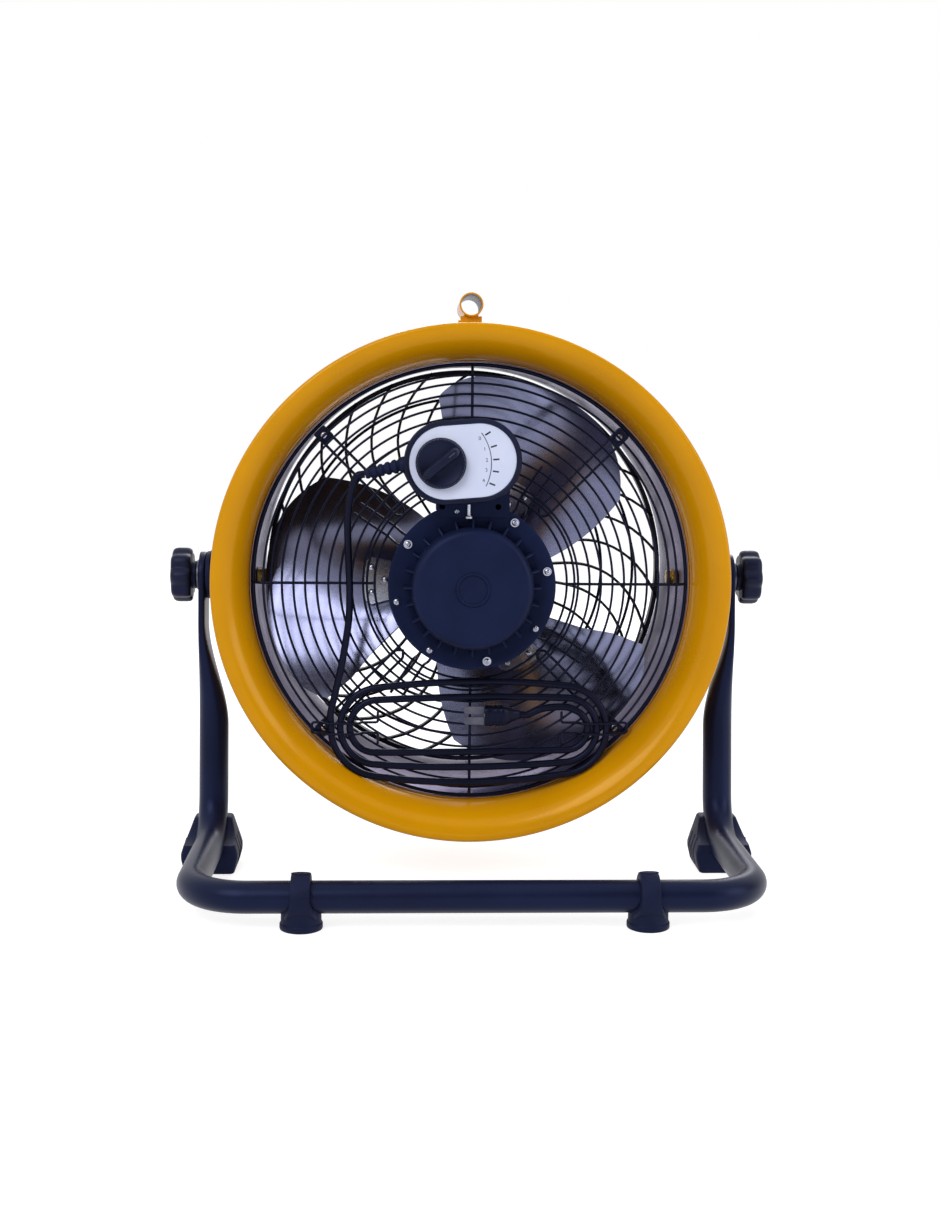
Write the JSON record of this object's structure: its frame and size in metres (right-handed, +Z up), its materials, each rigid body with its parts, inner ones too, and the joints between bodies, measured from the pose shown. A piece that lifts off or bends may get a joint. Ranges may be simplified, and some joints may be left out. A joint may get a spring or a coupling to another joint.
{
  "type": "drum fan",
  "caption": "Floor-standing drum fan: yellow drum with wire intake guard, metal blades, dial switch box and wound cord, tilting in a black bent-tube stand.",
  "frame": {"origin": "on the floor, at the middle of the ground that the fan covers without its cord, under the drum", "axes": "+Z up; +Y along the drum's axis in the direction of the air, so the intake with its switch box faces -Y; +X to the right seen from the intake"},
  "size_m": [0.5122, 0.3306, 0.4915],
  "materials": {
    "drum_sheet": "bright sheet inside, glossy yellow paint outside",
    "yellow_paint": "glossy deep yellow enamel",
    "wire_coating": "semi-gloss blue-black coating on round wire",
    "grille_plastic": "satin blue-black moulded plastic",
    "motor_coating": "satin blue-black enamel on die-cast metal",
    "lamination": "stacked sheet steel",
    "copper_winding": "varnished copper wire",
    "bright_steel": "bright zinc-plated steel",
    "blade_sheet": "polished pressed sheet",
    "black_plastic": "satin moulded plastic",
    "pale_plastic": "pale satin panel",
    "stand_coating": "satin blue-black powder coat",
    "black_rubber": "matte moulded rubber",
    "cord_jacket": "smooth black flexible PVC"
  },
  "bodies": {
    "stand": {"stand_tube": "stand_coating", "bar_foot_left": "black_rubber", "bar_foot_right": "black_rubber", "heel_foot_left": "black_rubber", "heel_foot_right": "black_rubber", "friction_disc_left": "black_rubber", "friction_disc_right": "black_rubber"},
    "head": {"drum_barrel": "drum_sheet", "intake_bell": "yellow_paint", "outlet_rim": "yellow_paint", "carry_handle": "yellow_paint", "intake_guard": "wire_coating", "guard_stay_1": "wire_coating", "guard_stay_2": "wire_coating", "guard_stay_3": "wire_coating", "guard_stay_4": "wire_coating", "motor_loop_1": "wire_coating", "motor_loop_2": "wire_coating", "motor_loop_3": "wire_coating", "motor_loop_4": "wire_coating", "cord_hook_left": "wire_coating", "cord_hook_right": "wire_coating", "outlet_grille": "grille_plastic", "grille_hoop_1": "wire_coating", "grille_hoop_2": "wire_coating", "motor_rear_cover": "motor_coating", "motor_flange": "motor_coating", "motor_front_shell": "motor_coating", "stator_core": "lamination", "stator_winding_rear": "copper_winding", "stator_winding_front": "copper_winding", "bearing_rear": "bright_steel", "bearing_front": "bright_steel", "switch_box": "black_plastic", "dial_plate": "pale_plastic", "rotary_switch": "black_plastic", "box_mount": "bright_steel", "motor_lead": "bright_steel", "pivot_bracket_left": "stand_coating", "pivot_bracket_right": "stand_coating", "nut_plate_left": "bright_steel", "nut_plate_right": "bright_steel", "strain_relief": "black_rubber", "cord_drop": "cord_jacket", "cord_hank": "cord_jacket", "plug": "cord_jacket"},
    "clamp_left": {"clamp_knob_left": "black_plastic", "clamp_washer_left": "bright_steel", "clamp_stud_left": "bright_steel"},
    "clamp_right": {"clamp_knob_right": "black_plastic", "clamp_washer_right": "bright_steel", "clamp_stud_right": "bright_steel"},
    "rotor": {"motor_shaft": "bright_steel", "rotor_core": "lamination", "blade_1": "blade_sheet", "blade_2": "blade_sheet", "blade_3": "blade_sheet", "blade_spider": "bright_steel", "hub_nut": "bright_steel"},
    "speed_knob": {"speed_knob": "black_plastic"}
  },
  "joints": [
    {"name": "drum_tilt", "type": "hinge", "parent": "stand", "child": "head", "pos_m": [0, 0.06525, 0.25], "axis": [1, 0, 0], "range_deg": [-90, 90]},
    {"name": "fan_spin", "type": "hinge", "parent": "head", "child": "rotor", "pos_m": [0, 0.05525, 0.25], "axis": [0, 1, 0], "continuous": true},
    {"name": "speed_turn", "type": "hinge", "parent": "head", "child": "speed_knob", "pos_m": [-0.02664, -0.06, 0.3511], "axis": [0, 1, 0], "range_deg": [0, 54.5]},
    {"name": "clamp_left_turn", "type": "hinge", "parent": "head", "child": "clamp_left", "pos_m": [-0.235, 0.06525, 0.25], "axis": [-1, 0, 0], "range_deg": [0, 360]},
    {"name": "clamp_right_turn", "type": "hinge", "parent": "head", "child": "clamp_right", "pos_m": [0.235, 0.06525, 0.25], "axis": [1, 0, 0], "range_deg": [0, 360]}
  ]
}
